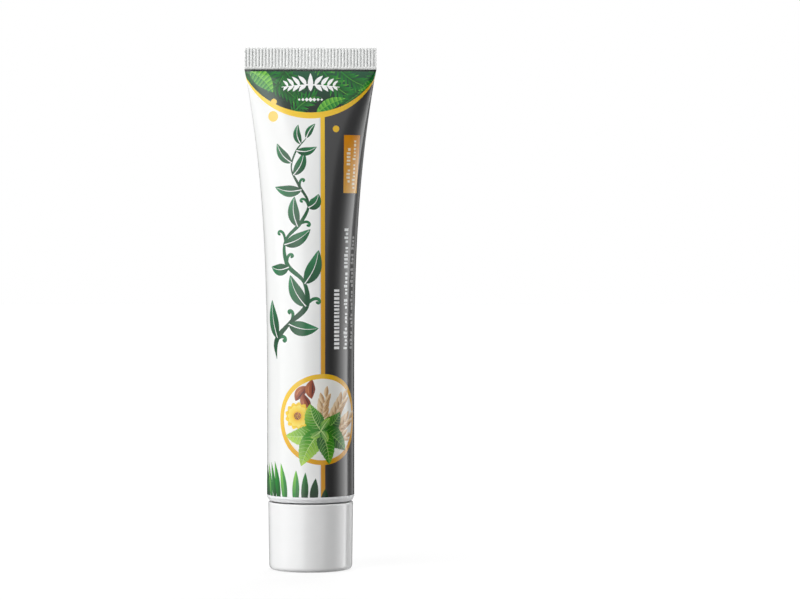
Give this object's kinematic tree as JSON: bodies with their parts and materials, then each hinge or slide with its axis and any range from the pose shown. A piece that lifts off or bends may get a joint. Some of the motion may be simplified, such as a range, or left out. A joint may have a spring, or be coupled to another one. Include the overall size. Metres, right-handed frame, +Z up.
{
  "type": "toothpaste tube",
  "caption": "Laminate toothpaste tube standing on its wide screw cap, round at the shoulder and flaring to a flat ribbed crimp.",
  "frame": {"origin": "centre of the cap's end face, on which the tube stands", "axes": "+Z up along the tube from the cap to the crimped fin, X along the fin's width, the front of the print faces -Y"},
  "size_m": [0.0528, 0.035, 0.2087],
  "materials": {
    "printed_laminate": "glossy printed laminate film",
    "shoulder_plastic": "natural white moulded polyethylene",
    "cap_plastic": "satin white moulded polypropylene",
    "paste": "soft paste"
  },
  "bodies": {
    "cap": {"cap": "cap_plastic"},
    "tube": {"sleeve": "printed_laminate", "shoulder": "shoulder_plastic", "paste": "paste"}
  },
  "joints": [
    {"name": "tube_lift", "type": "slide", "parent": "cap", "child": "tube", "axis": [0, 0, 1], "range_m": [0, 0.03]}
  ]
}
